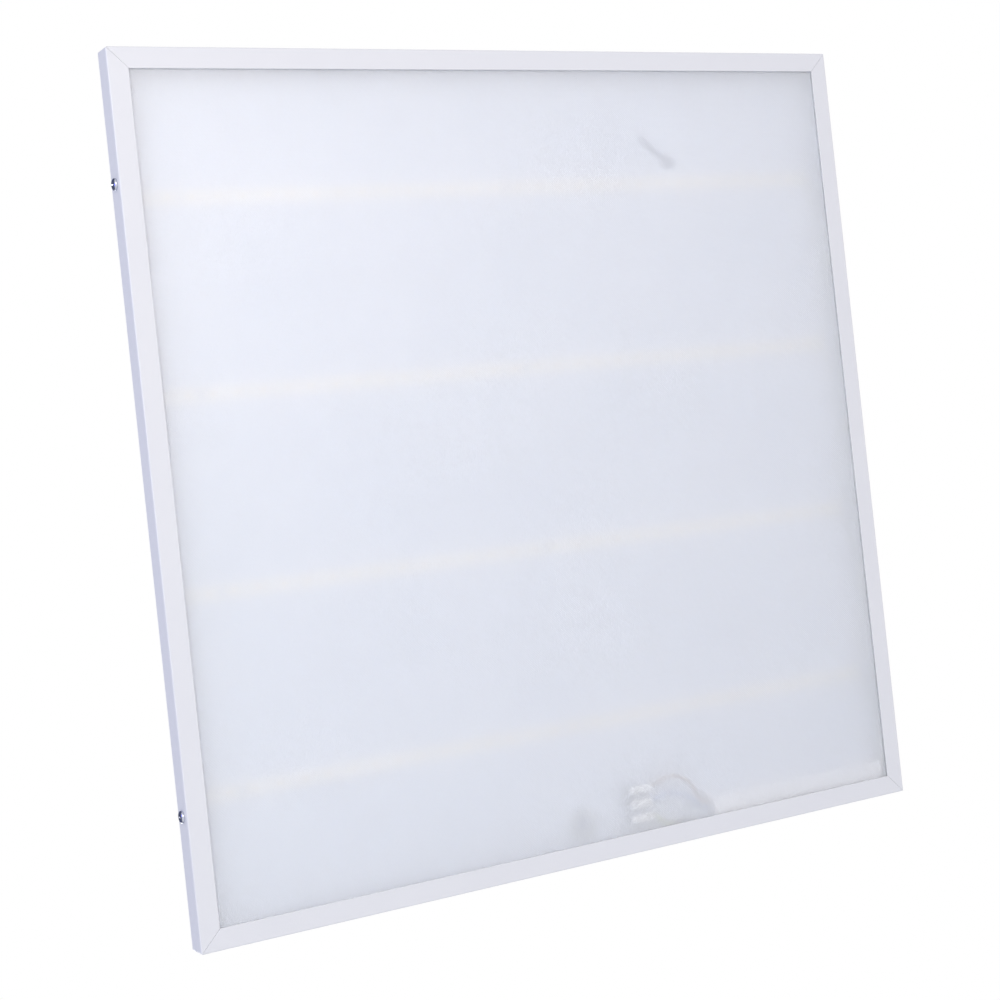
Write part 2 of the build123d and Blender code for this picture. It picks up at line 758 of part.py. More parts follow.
def mains_leads():
    """Live, neutral and earth, from the terminal block's driver side."""
    start = terminal_x - mains_lead_grip
    out = start - mains_lead_exit
    level = terminal_bore_z
    earth_pole, neutral_pole, live_pole = terminal_poles
    live_hole, neutral_hole = driver_lead_ys()
    inside = driver_x1 - mains_lead_reach
    live = [
        (start, live_pole, level),
        (out, live_pole, level),
        by_driver((37.5, 46.8, 6.6)),
        by_driver((25.5, 45.6, 7.4)),
        by_driver((15.0, 37.9, 6.8)),
        (driver_x1 + 6.6, live_hole, driver_lead_z),
        (inside, live_hole, driver_lead_z),
    ]
    neutral = [
        (start, neutral_pole, level),
        (out, neutral_pole, level),
        by_driver((37.0, 34.9, 6.0)),
        by_driver((25.0, 32.4, 6.2)),
        by_driver((14.5, 25.4, 5.8)),
        (driver_x1 + 5.6, neutral_hole, driver_lead_z),
        (inside, neutral_hole, driver_lead_z),
    ]
    barrel_z = tray_floor - lug_barrel
    barrel_mouth = earth_x + lug_barrel_start + lug_barrel_length
    earth = [
        (start, earth_pole, level),
        (out, earth_pole, level),
        (barrel_mouth + earth_lead_exit, earth_y, barrel_z),
        (barrel_mouth - earth_lead_grip, earth_y, barrel_z),
    ]
    return {"live_lead": live, "neutral_lead": neutral, "earth_lead": earth}


def by_corner(point):
    """A point given from the tray's closed end, its driver-side wall and its floor."""
    x, y, drop = point
    return x - tray_in, y - tray_in, tray_floor - drop


def by_end_wall(point):
    """A point given from the tray's closed end, as a share of the tray's width, and its floor."""
    x, share, drop = point
    return x - tray_in, (2 * share - 1) * tray_in, tray_floor - drop


def output_leads():
    """The driver's two low-voltage leads: to the last board, and back from the first."""
    positive_hole, negative_hole = driver_lead_ys()
    inside = driver_x0 + output_lead_reach
    socket = connector_end + connector_grip
    turn_in = connector_end - output_lead_exit
    level = connector_bore_z
    last, first = row_places[-1] - connector_pitch / 2, row_places[0] + connector_pitch / 2
    drop = tray_floor - output_lead_z
    positive = [
        (inside, positive_hole, driver_lead_z),
        (driver_x0 - 3.5, positive_hole, driver_lead_z),
        by_corner((5.4, 28.4, 3.8)),
        by_corner((4.8, 41.4, 1.7)),
        by_corner((6.4, 57.4, drop)),
        by_corner((11.4, 73.4, drop)),
        by_corner((14.4, 84.4, 1.6)),
        (turn_in, last, level),
        (socket, last, level),
    ]
    negative = [
        (inside, negative_hole, driver_lead_z),
        (driver_x0 - 4.5, negative_hole, driver_lead_z),
        by_corner((3.1, 25.2, 3.4)),
        by_corner((2.3, 39.4, 1.4)),
        by_end_wall((2.5, 0.114, drop)),
        by_end_wall((3.2, 0.195, drop)),
        by_end_wall((2.9, 0.288, drop)),
        by_end_wall((3.2, 0.385, drop)),
        by_end_wall((2.8, 0.480, drop)),
        by_end_wall((3.2, 0.574, drop)),
        by_end_wall((2.9, 0.666, drop)),
        by_end_wall((3.1, 0.754, drop)),
        by_end_wall((4.6, 0.796, drop)),
        by_end_wall((10.4, 0.823, 1.4)),
        (turn_in, first, level),
        (socket, first, level),
    ]
    return {"output_lead_positive": positive, "output_lead_negative": negative}


def jumper_leads():
    """The leads that join each board to the next; the one between the last two stands off."""
    socket = connector_end + connector_grip
    turn_in = connector_end - jumper_exit
    level = connector_bore_z
    drop = tray_floor - output_lead_z
    loose = [
        (16.0, 0.053, 2.2),
        (15.4, 0.150, 1.7),
        (10.2, 0.316, 2.1),
        (7.1, 0.474, 2.9),
        (8.8, 0.632, 2.4),
        (13.5, 0.782, 1.8),
        (15.8, 0.880, 2.0),
    ]
    flat = [
        (16.0, 0.053, 2.0),
        (14.8, 0.150, drop),
        (12.4, 0.316, drop),
        (11.8, 0.481, drop),
        (12.8, 0.647, drop),
        (15.0, 0.805, drop),
        (16.0, 0.902, 2.0),
    ]
    routes = {}
    for row, bends in ((0, flat), (1, flat), (2, loose)):
        y0 = row_places[row + 1] + connector_pitch / 2
        y1 = row_places[row] - connector_pitch / 2
        start = [(socket, y0, level), (turn_in, y0, level)]
        finish = [(turn_in, y1, level), (socket, y1, level)]
        middle = [
            (x - tray_in, y0 + share * row_pitch, tray_floor - below) for x, share, below in bends
        ]
        route = start + middle + finish
        routes[f"jumper_lead_{row + 1}_{row + 2}"] = route
    return routes


# ---------------------------------------------------------------- build
os.makedirs("parts", exist_ok=True)

fixed_rail = mitred_rail(flush=True)
write("driver_side_rail", fixed_rail)
write("far_side_rail", Rot(0, 0, 180) * fixed_rail)
write("closed_end_rail", Rot(0, 0, 270) * fixed_rail)
write("end_rail", Rot(0, 0, 90) * mitred_rail(flush=False))
fixed_screws = [screw for turn in (0, 180, 270) for screw in rail_screws(turn, flush=True)]
write("rail_screws", fixed_screws)
near_screw, far_screw = rail_screws(90, flush=False)
write("end_rail_screw_near", near_screw)
write("end_rail_screw_far", far_screw)
write("diffuser", diffuser())
write("back_tray", back_tray())

for number, y in enumerate(row_places, start=1):
    write(f"led_board_{number}", led_board(y))
    write(f"led_chips_{number}", led_chips(y))
write("board_connectors", [board_connector(y) for y in row_places])
write("board_screws", board_screws())

write("driver_base", driver_base())
write("driver_cover", driver_cover())
write("driver_board", driver_board())
write("driver_transformer", driver_transformer())
write("driver_capacitors", driver_capacitors())
write("driver_choke", driver_choke())
write("driver_rectifier", driver_rectifier())
write("driver_fuse", driver_fuse())
write("driver_screws", driver_screws())

write("terminal_block", terminal_block())
write("terminal_clamps", [terminal_clamp(y) for y in terminal_poles])
write("clamp_screws", [clamp_screw(x, y) for y in terminal_poles for x in clamp_screw_xs()])
write("block_screws", block_screws())

write("earth_lug", earth_lug())
write("earth_washer", earth_washer())
write("earth_nut", earth_nut())
write("earth_screw", earth_screw())
write("cable_grommet", cable_grommet())
write("lead_clips", [lead_clip(y) for y in (-row_pitch, 0, row_pitch)])

for name, route in mains_leads().items():
    write(name, lead(name, mains_lead, route))
for name, route in {**output_leads(), **jumper_leads()}.items():
    write(name, lead(name, output_lead, route))
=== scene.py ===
import math

import bmesh
import bpy
from mathutils import Matrix, Vector


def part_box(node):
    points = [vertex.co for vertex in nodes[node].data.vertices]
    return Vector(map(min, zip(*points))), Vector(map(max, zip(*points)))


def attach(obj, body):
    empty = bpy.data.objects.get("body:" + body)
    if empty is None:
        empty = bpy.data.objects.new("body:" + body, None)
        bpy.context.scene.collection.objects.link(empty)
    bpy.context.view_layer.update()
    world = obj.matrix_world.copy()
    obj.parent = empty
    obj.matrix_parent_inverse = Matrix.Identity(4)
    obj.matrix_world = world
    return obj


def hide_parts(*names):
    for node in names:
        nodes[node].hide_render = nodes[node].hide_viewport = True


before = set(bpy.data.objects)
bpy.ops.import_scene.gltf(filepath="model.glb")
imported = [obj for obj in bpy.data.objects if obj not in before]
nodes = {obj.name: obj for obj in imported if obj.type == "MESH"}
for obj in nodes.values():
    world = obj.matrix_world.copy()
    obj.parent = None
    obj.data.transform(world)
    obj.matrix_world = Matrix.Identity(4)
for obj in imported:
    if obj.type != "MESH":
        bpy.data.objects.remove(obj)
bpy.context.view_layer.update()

mm = 0.001

# ---------------------------------------------------------------- Studio
# A white room: a wide pale floor well below the panel, which hangs face down as in a
# ceiling, a bluish white surround, and soft boxes that light the face from below.


class Signal:
    """A value in a shader. Arithmetic on it adds Math nodes; [name] picks another output."""

    def __init__(self, shading, node, output=0):
        self.shading = shading
        self.node = node
        self.socket = node.outputs[output]

    def __getitem__(self, output):
        return Signal(self.shading, self.node, output)

    def maths(self, operation, *values):
        sockets = dict(enumerate(values))
        return self.shading.node("Math", {"operation": operation}, sockets)

    def __add__(self, other):
        return self.maths("ADD", self, other)

    def __radd__(self, other):
        return self.maths("ADD", other, self)

    def __sub__(self, other):
        return self.maths("SUBTRACT", self, other)

    def __rsub__(self, other):
        return self.maths("SUBTRACT", other, self)

    def __mul__(self, other):
        return self.maths("MULTIPLY", self, other)

    def __rmul__(self, other):
        return self.maths("MULTIPLY", other, self)

    def __truediv__(self, other):
        return self.maths("DIVIDE", self, other)

    def repeat(self, pitch):
        """Distance from the middle of the nearest cell of a row of cells."""
        return self.maths("PINGPONG", self, pitch / 2)

    def soft_step(self, low, high):
        """0 below low, 1 above high, smooth between."""
        settings = {"interpolation_type": "SMOOTHSTEP"}
        return self.shading.node("MapRange", settings, {0: self, 1: low, 2: high, 3: 0.0, 4: 1.0})


class Shading:
    """A node tree, to which nodes are added by type, settings and sockets."""

    def __init__(self, tree):
        self.tree = tree

    def node(self, kind, settings, sockets, output=0):
        node = self.tree.nodes.new("ShaderNode" + kind)
        for name, value in settings.items():
            setattr(node, name, value)
        self.set(node, sockets)
        return Signal(self, node, output)

    def set(self, node, sockets):
        for name, value in sockets.items():
            if isinstance(value, Signal):
                self.tree.links.new(value.socket, node.inputs[name])
            else:
                node.inputs[name].default_value = value

    def mix(self, share, first, second):
        """A colour between two colours."""
        sockets = {0: share, 6: first, 7: second}
        return self.node("Mix", {"data_type": "RGBA"}, sockets, output=2)


def srgb(red, green, blue):
    """A colour from its 0 to 255 values on a screen."""
    return tuple(((c / 255 + 0.055) / 1.055) ** 2.4 for c in (red, green, blue)) + (1.0,)


scene = bpy.context.scene
scene.view_settings.view_transform = "Standard"

camera_place = Vector((0.69403, 0.00714, -1.18390))
camera_right = Vector((-0.8711, -0.1067, -0.4794))
camera_up = Vector((-0.0904, 0.9943, -0.0571))
camera = bpy.data.objects.new("camera", bpy.data.cameras.new("camera"))
camera.data.lens = 67.97
camera.data.shift_x = 0.0064
camera.data.shift_y = -0.0597
camera_back = camera_right.cross(camera_up)
turn = Matrix((camera_right, camera_up, camera_back)).transposed().to_4x4()
camera.matrix_world = Matrix.Translation(camera_place) @ turn
scene.collection.objects.link(camera)
scene.camera = camera

# Diffuse rays meet an even white room. Mirrors and clear surfaces see a dim ceiling above
# it, which darkens the screws and what is seen through the holes. The picture's own ground
# is white.
world = bpy.data.worlds.new("room")
world.use_nodes = True
scene.world = world
room = Shading(world.node_tree)
path = room.node("LightPath", {}, {})
sky = room.node("SeparateXYZ", {}, {0: room.node("TexCoord", {}, {}, output="Generated")})["Z"]
overhead = sky.soft_step(-0.05, 0.35)
mirrored = path["Is Glossy Ray"] + path["Is Transmission Ray"]
surround = room.node("Background", {}, {"Color": srgb(250, 251, 255), "Strength": 0.87})
ceiling = room.node("Background", {}, {"Color": srgb(150, 160, 205), "Strength": 0.32})
white = room.node("Background", {}, {"Color": (1, 1, 1, 1), "Strength": 1.0})
mirrored_room = room.node("MixShader", {}, {0: overhead, 1: white, 2: ceiling})
unseen = room.node("MixShader", {}, {0: mirrored, 1: surround, 2: mirrored_room})
shown = room.node("MixShader", {}, {0: path["Is Camera Ray"], 1: unseen, 2: white})
room.set(world.node_tree.nodes["World Output"], {"Surface": shown})

floor_level = -1.45
floor_size = 40.0
bm = bmesh.new()
bmesh.ops.create_grid(bm, x_segments=1, y_segments=1, size=floor_size / 2)
bmesh.ops.translate(bm, verts=bm.verts, vec=(0, 0, floor_level))
floor_mesh = bpy.data.meshes.new("floor")
bm.to_mesh(floor_mesh)
bm.free()
floor = bpy.data.objects.new("floor", floor_mesh)
scene.collection.objects.link(floor)
floor_paint = bpy.data.materials.new("floor_paint")
floor_paint.use_nodes = True
paint = Shading(floor_paint.node_tree)
spots = paint.node("TexCoord", {}, {}, output="Object")
haze = paint.node("TexNoise", {}, {"Vector": spots, "Scale": 1.4, "Detail": 2.0})
floor_tint = paint.mix(haze, srgb(247, 247, 249), srgb(250, 250, 251))
paint_shader = floor_paint.node_tree.nodes["Principled BSDF"]
paint.set(paint_shader, {"Base Color": floor_tint, "Roughness": 0.8})
floor_mesh.materials.append(floor_paint)


def soft_box(name, place, aim, size, power, tint):
    """A square lamp that points at a place and isn't seen itself."""
    lamp = bpy.data.lights.new(name, "AREA")
    lamp.size = size
    lamp.energy = power
    lamp.color = tint[:3]
    lamp_object = bpy.data.objects.new(name, lamp)
    lamp_object.location = place
    towards = Vector(aim) - Vector(place)
    lamp_object.rotation_euler = towards.to_track_quat("-Z", "Y").to_euler()
    lamp_object.visible_camera = False
    scene.collection.objects.link(lamp_object)


soft_box("face_light", (1.05, 0.55, -1.25), (0.10, 0.0, 0), 1.0, 10.2, srgb(255, 253, 249))
soft_box("glare_light", (-0.12, 0.42, -1.25), (0.15, 0.15, 0), 0.45, 1.6, srgb(255, 226, 208))
soft_box("side_light", (2.2, 0.2, 0.25), (0.3, 0, 0), 0.8, 4.5, srgb(30, 60, 255))
soft_box("back_light", (0.1, -1.5, 1.6), (0, 0, 0), 1.2, 18.0, srgb(255, 254, 252))


# ---------------------------------------------------------------- Frame rails
# Four white rails with a face, a wall and a groove for the diffuser, cut at 45 degrees and
# met at the corners. Powder coated, so the white has a faint orange peel and satin sheen.
def finish(name, color, roughness, **constants):
    """A new material with one main shader; returns the material and its shading."""
    material = bpy.data.materials.new(name)
    material.use_nodes = True
    shading = Shading(material.node_tree)
    shading.shader = material.node_tree.nodes["Principled BSDF"]
    sockets = {"Base Color": color, "Roughness": roughness}
    for key, value in constants.items():
        sockets[key.replace("_", " ").title().replace("Ior", "IOR")] = value
    shading.set(shading.shader, sockets)
    shading.place = shading.node("TexCoord", {}, {}, output="Object")
    shading.axes = shading.node("SeparateXYZ", {}, {0: shading.place})
    return material, shading


def noise(shading, grain, detail=2.0):
    """Cloudy noise from 0 to 1 whose features are about grain wide."""
    sockets = {"Vector": shading.place, "Scale": 1 / grain, "Detail": detail}
    return shading.node("TexNoise", {}, sockets)


def bump(shading, height, depth, strength=1.0):
    """Roughens the surface by a height from 0 to 1, which stands for depth."""
    sockets = {"Strength": strength, "Distance": depth, "Height": height}
    shading.set(shading.shader, {"Normal": shading.node("Bump", {}, sockets)})


def dress(names, material):
    """Gives CAD nodes their finish."""
    for name in names:
        mesh = nodes[name].data
        mesh.materials.clear()
        mesh.materials.append(material)


def powder_coat(name, light, dark, peel_depth):
    """White powder coat: cloudy by a hair, with orange peel and uneven sheen."""
    material, shading = finish(name, light, 0.4)
    cloud = noise(shading, 60 * mm)
    peel = noise(shading, 1.3 * mm)
    grain = noise(shading, 0.35 * mm, 1.0)
    color = shading.mix(cloud, light, dark)
    roughness = 0.34 + 0.10 * cloud + 0.06 * peel
    shading.set(shading.shader, {"Base Color": color, "Roughness": roughness})
    bump(shading, peel * 0.8 + grain * 0.2, peel_depth)
    return material


rail_coat = powder_coat("rail_coat", srgb(217, 219, 223), srgb(214, 216, 221), 0.05 * mm)
dress(["driver_side_rail", "far_side_rail", "closed_end_rail", "end_rail"], rail_coat)


# ---------------------------------------------------------------- Rail screws
# Zinc plated cross recess screws, two to a rail, that hold the rails to the tray. The end
# rail's two have domed heads and are drawn to free it; the other six are countersunk.
rail_screw_head = 4.2 * mm
rail_screw_head_height = 2.4 * mm
rail_screw_shank = 1.9 * mm
rail_screw_length = 6.5 * mm
flush_head = 2.9 * mm
flush_head_depth = 0.9 * mm


def new_piece(name, bm, materials, body="housing", replaced=()):
    """Makes a finished bmesh a piece of the scene that rides on a body."""
    mesh = bpy.data.meshes.new(name)
    bm.to_mesh(mesh)
    bm.free()
    for material in materials:
        mesh.materials.append(material)
    piece = bpy.data.objects.new(name, mesh)
    scene.collection.objects.link(piece)
    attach(piece, body)
    if replaced:
        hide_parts(*replaced)
    return piece


def turned(profile, steps=48):
    """A solid of revolution about Z, from (radius, height) points from axis to axis."""
    bm = bmesh.new()
    verts = [bm.verts.new((radius, 0, height)) for radius, height in profile]
    edges = [bm.edges.new(pair) for pair in zip(verts, verts[1:])]
    bmesh.ops.spin(
        bm,
        geom=verts + edges,
        axis=(0, 0, 1),
        cent=(0, 0, 0),
        angle=2 * math.pi,
        steps=steps,
        use_merge=True,
    )
    bmesh.ops.remove_doubles(bm, verts=bm.verts, dist=1e-7)
    bmesh.ops.recalc_face_normals(bm, faces=bm.faces)
    return bm


def carve(bm, cutter):
    """Takes one closed shape out of another, and returns the result."""
    pieces = []
    for name, shape in (("whole", bm), ("cutter", cutter)):
        mesh = bpy.data.meshes.new(name)
        shape.to_mesh(mesh)
        shape.free()
        pieces.append(bpy.data.objects.new(name, mesh))
        scene.collection.objects.link(pieces[-1])
    whole, tool = pieces
    cut = whole.modifiers.new("cut", "BOOLEAN")
    cut.object = tool
    cut.solver = "EXACT"
    bpy.context.view_layer.update()
    carved = bmesh.new()
    carved.from_mesh(whole.evaluated_get(bpy.context.evaluated_depsgraph_get()).data)
    for piece in pieces:
        mesh = piece.data
        bpy.data.objects.remove(piece)
        bpy.data.meshes.remove(mesh)
    return carved


def cross_recess(bm, top, reach, width, depth):
    """Sinks a tapered cross into the top of a screw's head."""
    for quarter in (0, 1):
        arm = bmesh.new()
        bmesh.ops.create_cube(arm, size=1.0)
        bmesh.ops.scale(arm, vec=(2 * reach, width, 2 * depth), verts=arm.verts)
        foot = [v for v in arm.verts if v.co.z < 0]
        bmesh.ops.scale(arm, vec=(0.35, 0.7, 1), verts=foot)
        turn = Matrix.Rotation(quarter * math.pi / 2, 3, "Z")
        bmesh.ops.rotate(arm, matrix=turn, verts=arm.verts)
        bmesh.ops.translate(arm, vec=(0, 0, top), verts=arm.verts)
        bm = carve(bm, arm)
    return bm


head_gap = 0.02 * mm  # keeps a head's seat out of the plane of the wall
head_facets = 8
point_taper = 0.5  # height of a screw's point, in shank radii
point_share = 0.4  # radius of its end, in shank radii


def pan_screw(head, head_height, shank, length):
    """A pan head screw along Z, its head standing on z = 0 and its shank going down."""
    dome = [(0, head_height)]
    for step in range(1, head_facets):
        lean = step / head_facets * math.pi / 2
        spread = head * (0.42 + 0.58 * math.sin(lean))
        dome.append((spread, head_height * (0.25 + 0.75 * math.cos(lean) ** 0.8)))
    dome += [(head, 0.22 * head_height), (head, 0.06 * head_height), (head * 0.985, head_gap)]
    thread = [(shank, head_gap), (shank, point_taper * shank - length)]
    thread += [(point_share * shank, -length), (0, -length)]
    bm = turned(dome + thread)
    return cross_recess(bm, head_height, 0.56 * head, 0.26 * head, 0.62 * head_height)


def copies(template, places):
    """One bmesh with a copy of a template at each place, given as matrices."""
    mesh = bpy.data.meshes.new("template")
    template.to_mesh(mesh)
    template.free()
    bm = bmesh.new()
    for place in places:
        start = len(bm.verts)
        bm.from_mesh(mesh)
        bm.verts.ensure_lookup_table()
        bmesh.ops.transform(bm, matrix=place, verts=bm.verts[start:])
    bpy.data.meshes.remove(mesh)
    return bm


def zinc(name, tone, roughness):
    """Zinc plating: bright, a little cloudy, with fine tumbling marks."""
    material, shading = finish(name, tone, roughness, metallic=1.0)
    cloud = noise(shading, 1.1 * mm)
    marks = noise(shading, 0.12 * mm)
    color = shading.mix(cloud, tone, tuple(0.82 * c for c in tone[:3]) + (1.0,))
    shading.set(
        shading.shader,
        {"Base Color": color, "Roughness": roughness + 0.12 * cloud + 0.08 * marks},
    )
    bump(shading, marks, 0.008 * mm)
    return material


bright_zinc = zinc("bright_zinc", srgb(214, 217, 226), 0.07)
screw_level = 8.0 * mm
screw_offset = 208.0 * mm
side = 297.5 * mm


def rail_screw_places(turns):
    """Where the screws sit, for rails turned about Z from the -Y side."""
    outwards = Matrix.Rotation(math.pi / 2, 4, "X")
    places = []
    for turn in turns:
        for along in (-screw_offset, screw_offset):
            place = Matrix.Translation((along, -side, screw_level)) @ outwards
            places.append(Matrix.Rotation(math.radians(turn), 4, "Z") @ place)
    return places


def rail_screw():
    return pan_screw(rail_screw_head, rail_screw_head_height, rail_screw_shank, rail_screw_length)


def flush_screw():
    """A countersunk screw along Z, its face just under z = 0, with a cross recess."""
    head = [(0, 0), (flush_head - 0.15 * mm, 0), (flush_head, -0.12 * mm)]
    neck = [(rail_screw_shank, -flush_head_depth)]
    tip = [(rail_screw_shank, point_taper * rail_screw_shank - rail_screw_length)]
    point = [(point_share * rail_screw_shank, -rail_screw_length), (0, -rail_screw_length)]
    bm = turned(head + neck + tip + point)
    return cross_recess(bm, 0, 0.72 * flush_head, 0.34 * flush_head, 1.1 * mm)


new_piece(
    "rail_screw_set",
    copies(flush_screw(), rail_screw_places((0, 180, 270))),
    [bright_zinc],
    replaced=["rail_screws"],
)
end_places = rail_screw_places((90,))
for place, word in zip(end_places, ("near", "far")):
    new_piece(
        f"end_screw_{word}_piece",
        copies(rail_screw(), [place]),
        [bright_zinc],
        body=f"end_screw_{word}",
        replaced=[f"end_rail_screw_{word}"],
    )


# ---------------------------------------------------------------- Diffuser
# One sheet of extruded polystyrene, its face pressed into fine prisms. It is translucent:
# most light is scattered in it, and what lies behind shows as soft shapes.
sheet_light, sheet_dark = srgb(249, 252, 255), srgb(246, 250, 254)
sheet_finish, sheet = finish(
    "prismatic_sheet", sheet_light, 0.4, transmission_weight=0.64, ior=1.49
)
prism = 1.3 * mm
x, y = sheet.axes["X"], sheet.axes["Y"]
diagonal = 0.7071
ridges = ((x + y) * diagonal).repeat(prism) + ((x - y) * diagonal).repeat(prism)
milk = noise(sheet, 90 * mm)
grain = noise(sheet, 0.8 * mm)
sheet.set(
    sheet.shader,
    {"Base Color": sheet.mix(milk, sheet_light, sheet_dark), "Roughness": 0.285 + 0.03 * grain},
)
bump(sheet, ridges / prism + grain * 0.5, 0.12 * mm, 0.6)
ray = sheet.node("LightPath", {}, {})
through = sheet.node("BsdfTransparent", {}, {"Color": (0.99, 0.995, 1.0, 1)})
plastic = Signal(sheet, sheet.shader)
lit = sheet.node("MixShader", {}, {0: ray["Is Shadow Ray"], 1: plastic, 2: through})
sheet.set(sheet_finish.node_tree.nodes["Material Output"], {"Surface": lit})
dress(["diffuser"], sheet_finish)


# ---------------------------------------------------------------- Back tray
# A shallow tray pressed from 0.6 mm steel, painted white on both sides, with three beads
# across its back, drawn collars for the rail screws, a keyhole and the cable's hole.
tray_paint = powder_coat("tray_paint", srgb(228, 233, 245), srgb(225, 230, 243), 0.03 * mm)
dress(["back_tray"], tray_paint)


# ---------------------------------------------------------------- Lamp boards
# Four aluminium-backed strips with white solder mask, screwed to the tray. Faint copper
# tracks show through the mask, and score lines mark where strips were parted.
board_mask, mask = finish("board_mask", srgb(255, 250, 244), 0.42)
led_pitch = 18.0 * mm
row_pitch = 133.0 * mm
across = (mask.axes["Y"] - row_pitch / 2).repeat(row_pitch)
along = mask.axes["X"].repeat(3 * led_pitch)
track_start, track_end, track_blur = 2.2 * mm, 4.0 * mm, 0.1 * mm
track = across.soft_step(track_start - track_blur, track_start + track_blur)
track = track * (1 - across.soft_step(track_end - track_blur, track_end + track_blur))
score = 1 - along.soft_step(0.12 * mm, 0.22 * mm)
speckle = noise(mask, 0.5 * mm)
edge = across.soft_step(1.8 * mm, 5.0 * mm)
mask_color = mask.mix(edge, srgb(255, 250, 244), srgb(250, 248, 248))
mask_color = mask.mix(track * 0.3, mask_color, srgb(232, 232, 230))
mask_color = mask.mix(score * 0.6, mask_color, srgb(176, 172, 160))
mask.set(mask.shader, {"Base Color": mask_color, "Roughness": 0.36 + 0.12 * speckle})
bump(mask, track * 0.5 + speckle * 0.1 - score, 0.05 * mm)
dress([f"led_board_{row}" for row in range(1, 5)], board_mask)


# ---------------------------------------------------------------- LED chips
# Thirty chips to a board. Each is a white moulded frame round a pale yellow phosphor window,
# on two tinned feet that are soldered down.
chip_length, chip_width, chip_height = 3.5 * mm, 2.8 * mm, 0.8 * mm
chip_lip = 0.42 * mm
chip_sink = 0.16 * mm
chip_round = 0.25 * mm
foot_length = 0.55 * mm


def led_chip():
    """One chip, window down, with its middle at the origin."""
    bm = bmesh.new()
    bmesh.ops.create_cube(bm, size=1.0)
    bmesh.ops.scale(bm, vec=(chip_length - foot_length, chip_width, chip_height), verts=bm.verts)
    window = [f for f in bm.faces if f.normal.z < -0.5]
    bmesh.ops.inset_region(bm, faces=window, thickness=chip_lip, depth=-chip_sink)
    for face in window:
        face.material_index = 1
    upright = [e for e in bm.edges if abs(e.verts[0].co.z - e.verts[1].co.z) > chip_height / 2]
    bmesh.ops.bevel(
        bm, geom=upright, offset=chip_round, segments=2, affect="EDGES", profile=0.5, material=-1
    )
    for end in (-1, 1):
        foot = bmesh.ops.create_cube(bm, size=1.0)["verts"]
        bmesh.ops.scale(bm, vec=(foot_length, 0.72 * chip_width, 0.3 * chip_height), verts=foot)
        slide = (end * (chip_length - foot_length) / 2, 0, 0.34 * chip_height)
        bmesh.ops.translate(bm, vec=slide, verts=foot)
        for face in {f for v in foot for f in v.link_faces}:
            face.material_index = 2
    return bm


chip_case, case = finish("chip_case", srgb(255, 249, 243), 0.38)
case_cloud = noise(case, 0.4 * mm)
case.set(case.shader, {"Roughness": 0.34 + 0.1 * case_cloud})
bump(case, case_cloud, 0.01 * mm)
phosphor, glow = finish("phosphor", srgb(255, 224, 176), 0.3, coat_weight=0.6)
glow_cloud = noise(glow, 0.25 * mm)
glow.set(
    glow.shader,
    {"Base Color": glow.mix(glow_cloud, srgb(255, 224, 176), srgb(250, 210, 150))},
)
bump(glow, glow_cloud, 0.02 * mm)
solder = zinc("solder", srgb(206, 207, 210), 0.28)
for row in range(1, 5):
    low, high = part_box(f"led_chips_{row}")
    middle = (low + high) / 2
    half_run = (high.x - low.x - chip_length) / 2
    count = round(2 * half_run / led_pitch) + 1
    spots = [Vector((-half_run + n * led_pitch, middle.y, middle.z)) for n in range(count)]
    new_piece(
        f"led_row_{row}",
        copies(led_chip(), [Matrix.Translation(spot) for spot in spots]),
        [chip_case, phosphor, solder],
        replaced=[f"led_chips_{row}"],
    )


# ---------------------------------------------------------------- Board fittings
# A moulded push-in connector at the closed end of each board, and three small screws with
# cross recesses that clamp the board to the tray.
connector_nylon, nylon = finish("connector_nylon", srgb(238, 237, 231), 0.4)
nylon_cloud = noise(nylon, 0.7 * mm)
nylon.set(nylon.shader, {"Roughness": 0.34 + 0.12 * nylon_cloud})
bump(nylon, nylon_cloud, 0.02 * mm)
dress(["board_connectors"], connector_nylon)

pale_zinc = zinc("pale_zinc", srgb(228, 229, 232), 0.34)
board_screw_head = 2.7 * mm
board_screw_head_height = 1.4 * mm
board_screw_shank = 1.4 * mm
face_down = Matrix.Rotation(math.pi, 4, "X")
board_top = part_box("led_board_1")[0].z
low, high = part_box("board_screws")
rows = [row_pitch * (1.5 - row) for row in range(4)]
columns = [low.x + board_screw_head, 0.0, high.x - board_screw_head]
new_piece(
    "board_screw_set",
    copies(
        pan_screw(board_screw_head, board_screw_head_height, board_screw_shank, high.z - board_top),
        [Matrix.Translation((x, y, board_top)) @ face_down for y in rows for x in columns],
    ),
    [pale_zinc],
    replaced=["board_screws"],
)


# ---------------------------------------------------------------- Driver
# A slim white case in two halves, moulded with a fine spark texture, screwed on from
# behind the tray. Inside are a green board, transformer, choke, cans, rectifier and fuse.
def moulding(name, color, roughness, texture, depth, **constants):
    """Moulded plastic with a spark-eroded texture of a given grain."""
    material, shading = finish(name, color, roughness, **constants)
    spark = noise(shading, texture)
    flow = noise(shading, 14 * mm)
    darker = tuple(0.955 * c for c in color[:3]) + (1.0,)
    shading.set(
        shading.shader,
        {"Base Color": shading.mix(flow, color, darker), "Roughness": roughness + 0.1 * spark},
    )
    bump(shading, spark, depth)
    return material


